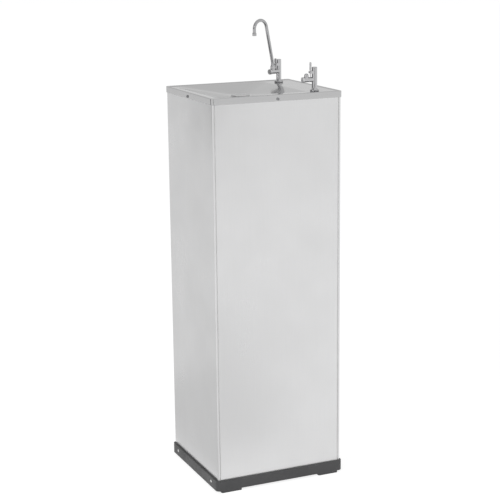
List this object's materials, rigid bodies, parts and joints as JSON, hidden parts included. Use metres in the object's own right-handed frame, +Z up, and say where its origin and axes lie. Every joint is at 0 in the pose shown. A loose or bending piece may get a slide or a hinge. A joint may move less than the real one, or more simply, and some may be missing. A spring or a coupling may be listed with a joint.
{
  "type": "column water cooler",
  "caption": "Free-standing stainless column water cooler: sloping basin top with drain, push-lever glass tap with swivel gooseneck, push-lever drinking jet, and an inner cooling unit.",
  "frame": {"origin": "on the floor under the middle of the plinth", "axes": "+Z up, -Y to the front panel, +X to the side of the deck that carries the taps"},
  "size_m": [0.3444, 0.3064, 1.1309],
  "materials": {
    "stainless_satin": "satin brushed",
    "chrome": "polished chrome plate",
    "charcoal_plastic": "fine grain",
    "black_plastic": "fine grain",
    "black_paint": "semi-gloss black",
    "white_plastic": "smooth",
    "foam": "closed-cell bead foam",
    "black_rubber": "matte",
    "brass": "machined",
    "copper": "drawn copper tube"
  },
  "bodies": {
    "cabinet": {"left_panel": "stainless_satin", "right_panel": "stainless_satin", "front_panel": "stainless_satin", "rear_panel": "stainless_satin", "cabinet_screws": "stainless_satin", "basin_top": "stainless_satin", "drain_strainer": "stainless_satin", "drain_body": "stainless_satin", "glass_spring": "stainless_satin", "jet_spring": "stainless_satin", "tank_shelf": "stainless_satin", "cold_tank": "stainless_satin", "compressor_bolts": "stainless_satin", "tap_caps": "chrome", "lever_pins": "chrome", "glass_tap_body": "chrome", "gooseneck_collar": "chrome", "jet_tap_body": "chrome", "jet_nozzle": "chrome", "base_plinth": "charcoal_plastic", "feet": "charcoal_plastic", "filter_clips": "black_plastic", "terminal_cover": "black_plastic", "condenser_clips": "black_plastic", "cord_gland": "black_plastic", "compressor": "black_paint", "condenser_tube": "black_paint", "condenser_wires": "black_paint", "drain_nut": "white_plastic", "drain_outlet": "white_plastic", "outlet_tee": "white_plastic", "glass_hose": "white_plastic", "jet_hose": "white_plastic", "inlet_hose": "white_plastic", "filter_cartridge": "white_plastic", "filter_hose": "white_plastic", "thermostat_body": "white_plastic", "insulation_front": "foam", "insulation_rear": "foam", "drain_gasket": "black_rubber", "drain_hose": "black_rubber", "tap_gaskets": "black_rubber", "compressor_mounts": "black_rubber", "tap_nuts": "brass", "inlet_fitting": "brass", "bulkhead_nuts": "brass", "evaporator_coil": "copper", "filter_drier": "copper", "discharge_line": "copper", "suction_line": "copper", "capillary_tube": "copper", "sensor_tube": "copper"},
    "glass_lever": {"glass_lever": "chrome"},
    "glass_plunger": {"glass_plunger": "brass"},
    "gooseneck": {"gooseneck_tube": "chrome", "spout_tip": "chrome"},
    "jet_lever": {"jet_lever": "chrome"},
    "jet_plunger": {"jet_plunger": "brass"},
    "thermostat_knob": {"thermostat_knob": "black_plastic"}
  },
  "joints": [
    {"name": "glass_lever_press", "type": "hinge", "parent": "cabinet", "child": "glass_lever", "pos_m": [0.10813, 0.09641, 1.0145], "axis": [-0.342, 0.9397, 0], "range_deg": [0, 7]},
    {"name": "glass_plunger_slide", "type": "slide", "parent": "cabinet", "child": "glass_plunger", "axis": [-0.9397, -0.342, 0], "range_m": [0, 0.0018], "stiffness_N_per_m": 1100, "springref_m": -0.0022, "deforming": ["glass_spring"]},
    {"name": "gooseneck_swivel", "type": "hinge", "parent": "cabinet", "child": "gooseneck", "pos_m": [0.0978, 0.09265, 1.004], "axis": [0, 0, 1], "range_deg": [-90, 90]},
    {"name": "jet_lever_press", "type": "hinge", "parent": "cabinet", "child": "jet_lever", "pos_m": [0.0995, -0.12, 1.0145], "axis": [0, 1, 0], "range_deg": [0, 7]},
    {"name": "jet_plunger_slide", "type": "slide", "parent": "cabinet", "child": "jet_plunger", "axis": [-1, 0, 0], "range_m": [0, 0.0018], "stiffness_N_per_m": 1100, "springref_m": -0.0022, "deforming": ["jet_spring"]},
    {"name": "thermostat_turn", "type": "hinge", "parent": "cabinet", "child": "thermostat_knob", "pos_m": [0.02, 0.116, 0.925], "axis": [0, 1, 0], "range_deg": [0, 270]}
  ],
  "couplings": [
    {"joint": "glass_lever_press", "follows": "glass_plunger_slide", "rad_per_m": 67.568},
    {"joint": "jet_lever_press", "follows": "jet_plunger_slide", "rad_per_m": 67.568}
  ]
}
